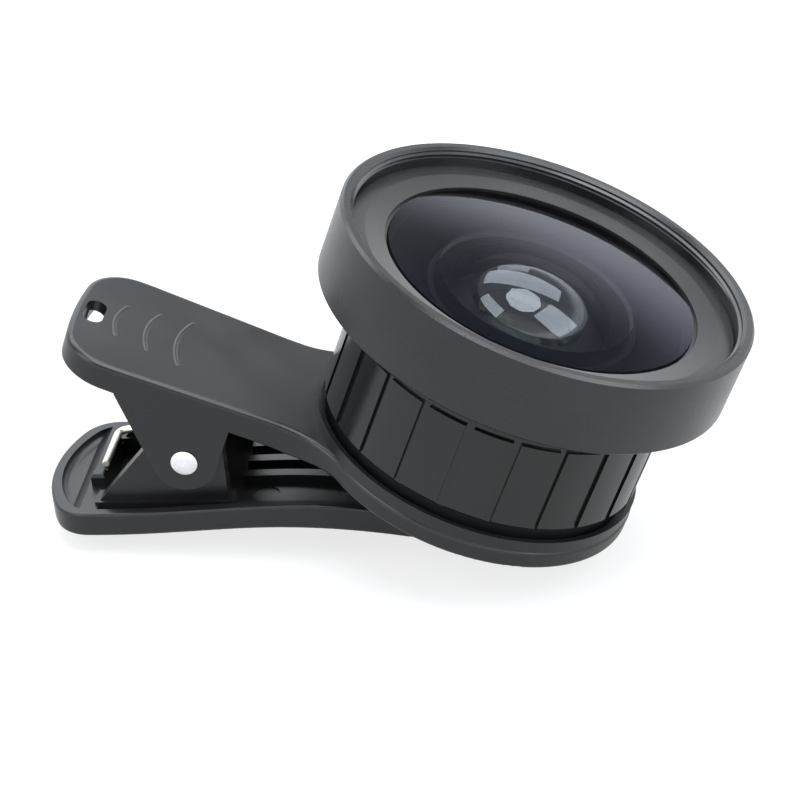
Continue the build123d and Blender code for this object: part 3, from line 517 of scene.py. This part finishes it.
def wire_rings(line, cut_off):
    """The wire's rings along a line, each a centre, two axes across the wire and a radius."""
    rings = []
    across = None
    for i, spot in enumerate(line):
        ahead = line[min(i + 1, len(line) - 1)] - line[max(i - 1, 0)]
        ahead.normalize()
        if across is None:
            across = ahead.orthogonal().normalized()
        across = (across - ahead * across.dot(ahead)).normalized()
        rings.append((spot, across, ahead.cross(across), WIRE_R))
    if cut_off:
        spot, u, v, _ = rings[-1]
        ahead = u.cross(v).normalized()
        for k in range(1, CUT_STEPS + 1):
            turn = k * math.pi / (2 * CUT_STEPS)
            shift = ahead * CUT_ROUNDING * math.sin(turn)
            rings.append((spot + shift, u, v, WIRE_R - CUT_ROUNDING * (1 - math.cos(turn))))
    return rings


def wire_piece(name, line, cut_off):
    """A round wire along a line given round the pin; a cut off end has a rounded edge."""
    sides = WIRE_SIDES
    rings = wire_rings(line, cut_off)
    verts = []
    for spot, u, v, radius in rings:
        for k in range(sides):
            turn = 2 * math.pi * k / sides
            place = spot + (u * math.cos(turn) + v * math.sin(turn)) * radius + PIN_LENS
            verts.append(from_lens(*place))
    faces = []
    for i in range(len(rings) - 1):
        for k in range(sides):
            a = i * sides + k
            b = i * sides + (k + 1) % sides
            faces.append((a, b, b + sides, a + sides))
    faces.append(tuple(range(sides))[::-1])
    faces.append(tuple((len(rings) - 1) * sides + k for k in range(sides)))
    piece = mesh_piece(name, verts, faces, [WIRE_METAL])
    for face in piece.data.polygons:
        face.use_smooth = len(face.vertices) == 4
    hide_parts("torsion_spring")
    return piece


def make_spring():
    """The spring: a leg on each arm, which turns with it, and the coil between them, which stays
    still.
    """
    first, last, low_leg, high_leg = coil_angles()
    turns = (last - first) / (2 * math.pi)
    width = COIL_PITCH * turns
    steps = int(COIL_TURN_STEPS * turns)
    coil = []
    for i in range(steps + 1):
        angle = first + (last - first) * i / steps
        y = width / 2 - width * i / steps
        coil.append(Vector((COIL_R * math.cos(angle), y, COIL_R * math.sin(angle))))
    low = leg_line(coil[0], -coil_tangent(first), low_leg, Vector((0, -1, 0)))
    high = leg_line(coil[-1], coil_tangent(last), high_leg, Vector((0, 1, 0)))
    low_piece = wire_piece("spring_low_leg", low, cut_off=True)
    high_piece = wire_piece("spring_high_leg", high, cut_off=True)
    coil_piece = wire_piece("spring_coil", coil, cut_off=False)
    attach(low_piece, "lower_arm")
    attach(high_piece, "upper_arm")
    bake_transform(coil_piece)


make_spring()


# Floor: its grey under the lamps, the white added to it for the camera near the object, the
# distances in metres between which that rises to full white, what it adds in reflections, and
# how far it reaches to each side.
FLOOR_TONE = 0.28
FLOOR_LIFT = 0.77
FLOOR_FADE = (0.1, 0.6)
FLOOR_MIRRORED = 0.45
FLOOR_REACH = 3.0

# World: the level of its light on the object, and the levels that gloss and glass show of the
# backdrop and of the darker room above. One gives way to the other over BACKDROP_EDGE, which is
# measured on the upward part of a unit direction.
ROOM_LEVEL = 0.15
BACKDROP_LEVEL = 1.8
HIGH_LEVEL = 0.46
BACKDROP_EDGE = (0.2, 0.47)
STUDIO_WHITE = (0.92, 0.96, 1.0)

# Lamps, in metres, degrees and watts. They stand where the front glass mirrors them as the
# picture shows: the octagon overhead, a box at its left and its right, and a high panel beyond
# it. The back box lights the far side of the object.
CENTRE = (0.01, 0.0, 0.03)
OCTAGON_PLACE = (0.17, -0.22, 1.1)
OCTAGON_R = 0.44
OCTAGON_SIDES = 8
OCTAGON_TURN = -4
OCTAGON_STRENGTH = 6.2
SOFT_BOXES = (  # name, place, target, width, height, power
    ("high_box", (0.01, 0.545, 0.95), (0.01, 0.306, -0.02), 2.2, 0.67, 17.0),
    ("back_box", (-0.28, 0.9, 0.6), CENTRE, 0.68, 0.4, 1.5),
    ("left_box", (-0.592, -0.482, 0.667), CENTRE, 0.58, 0.5, 3.5),
    ("right_box", (0.76, -0.427, 0.537), CENTRE, 0.67, 0.9, 8.0),
)


def make_floor():
    """A plain pale floor that shows as white and keeps the object's soft shadow."""
    material, tree, output = new_material("pale_floor")
    lit = add(tree, "BsdfDiffuse", Color=(FLOOR_TONE, FLOOR_TONE, FLOOR_TONE, 1))
    path = add(tree, "LightPath")
    mirrored = add(tree, "Math", operation="MULTIPLY")
    mirrored.inputs[1].default_value = FLOOR_MIRRORED
    tree.links.new(path.outputs["Is Glossy Ray"], mirrored.inputs[0])
    coords = add(tree, "TexCoord")
    away = add(tree, "VectorMath", operation="LENGTH")
    tree.links.new(coords.outputs["Object"], away.inputs[0])
    shown = spread(tree, away.outputs["Value"], FLOOR_LIFT, 1.0, *FLOOR_FADE)
    lift = add(tree, "Math", operation="MULTIPLY_ADD")
    tree.links.new(path.outputs["Is Camera Ray"], lift.inputs[0])
    tree.links.new(shown.outputs["Result"], lift.inputs[1])
    tree.links.new(mirrored.outputs["Value"], lift.inputs[2])
    white = add(tree, "Emission", Color=(1, 1, 1, 1))
    tree.links.new(lift.outputs["Value"], white.inputs["Strength"])
    both = add(tree, "AddShader")
    tree.links.new(lit.outputs["BSDF"], both.inputs[0])
    tree.links.new(white.outputs["Emission"], both.inputs[1])
    tree.links.new(both.outputs["Shader"], output.inputs["Surface"])
    reach = FLOOR_REACH
    corners = [(-reach, -reach, 0), (reach, -reach, 0), (reach, reach, 0), (-reach, reach, 0)]
    floor = mesh_piece("floor", corners, [(0, 1, 2, 3)], [material])


def make_world():
    """White to the camera; to gloss and glass, a white backdrop that ends in a dark room above."""
    world = bpy.data.worlds.new("studio")
    bpy.context.scene.world = world
    world.use_nodes = True
    tree = world.node_tree
    tree.nodes.clear()
    coords = add(tree, "TexCoord")
    parts = add(tree, "SeparateXYZ")
    tree.links.new(coords.outputs["Generated"], parts.inputs["Vector"])
    mirrored = spread(tree, parts.outputs["Z"], BACKDROP_LEVEL, HIGH_LEVEL, *BACKDROP_EDGE)
    mirrored.interpolation_type = "SMOOTHSTEP"
    path = add(tree, "LightPath")
    shown = add(tree, "Math", operation="ADD", use_clamp=True)
    tree.links.new(path.outputs["Is Glossy Ray"], shown.inputs[0])
    tree.links.new(path.outputs["Is Transmission Ray"], shown.inputs[1])
    level = add(tree, "Mix", data_type="FLOAT")
    tree.links.new(shown.outputs["Value"], level.inputs["Factor"])
    level.inputs["A"].default_value = ROOM_LEVEL
    tree.links.new(mirrored.outputs["Result"], level.inputs["B"])
    room = add(tree, "Background", Color=(*STUDIO_WHITE, 1))
    tree.links.new(level.outputs["Result"], room.inputs["Strength"])
    white = add(tree, "Background", Color=(1, 1, 1, 1), Strength=1.0)
    mix = add(tree, "MixShader")
    tree.links.new(path.outputs["Is Camera Ray"], mix.inputs["Fac"])
    tree.links.new(room.outputs["Background"], mix.inputs[1])
    tree.links.new(white.outputs["Background"], mix.inputs[2])
    output = add(tree, "OutputWorld")
    tree.links.new(mix.outputs["Shader"], output.inputs["Surface"])


def octagon_box():
    """A flat eight-sided soft box that shines straight down."""
    material, tree, output = new_material("octagon_glow")
    side = add(tree, "NewGeometry")
    front = add(tree, "Math", operation="SUBTRACT")
    front.inputs[0].default_value = 1.0
    tree.links.new(side.outputs["Backfacing"], front.inputs[1])
    level = add(tree, "Math", operation="MULTIPLY")
    level.inputs[1].default_value = OCTAGON_STRENGTH
    tree.links.new(front.outputs["Value"], level.inputs[0])
    glow = add(tree, "Emission", Color=(*STUDIO_WHITE, 1))
    tree.links.new(level.outputs["Value"], glow.inputs["Strength"])
    tree.links.new(glow.outputs["Emission"], output.inputs["Surface"])
    corners = []
    for i in range(OCTAGON_SIDES):
        angle = math.radians(OCTAGON_TURN - 360 / OCTAGON_SIDES * i)
        away = Vector((math.cos(angle), math.sin(angle), 0)) * OCTAGON_R
        corners.append(Vector(OCTAGON_PLACE) + away)
    box = mesh_piece("octagon_box", corners, [tuple(range(OCTAGON_SIDES))], [material])


def area_light(name, place, target, width, height, power):
    """A soft box at a place, turned towards a target."""
    data = bpy.data.lights.new(name, "AREA")
    data.shape = "RECTANGLE"
    data.size = width
    data.size_y = height
    data.energy = power
    data.color = STUDIO_WHITE
    lamp = linked(name, data)
    lamp.location = place
    lamp.rotation_mode = "QUATERNION"
    lamp.rotation_quaternion = (Vector(target) - Vector(place)).to_track_quat("-Z", "Y")


make_floor()
make_world()
octagon_box()
for box in SOFT_BOXES:
    area_light(*box)

bpy.context.scene.view_settings.view_transform = "Standard"
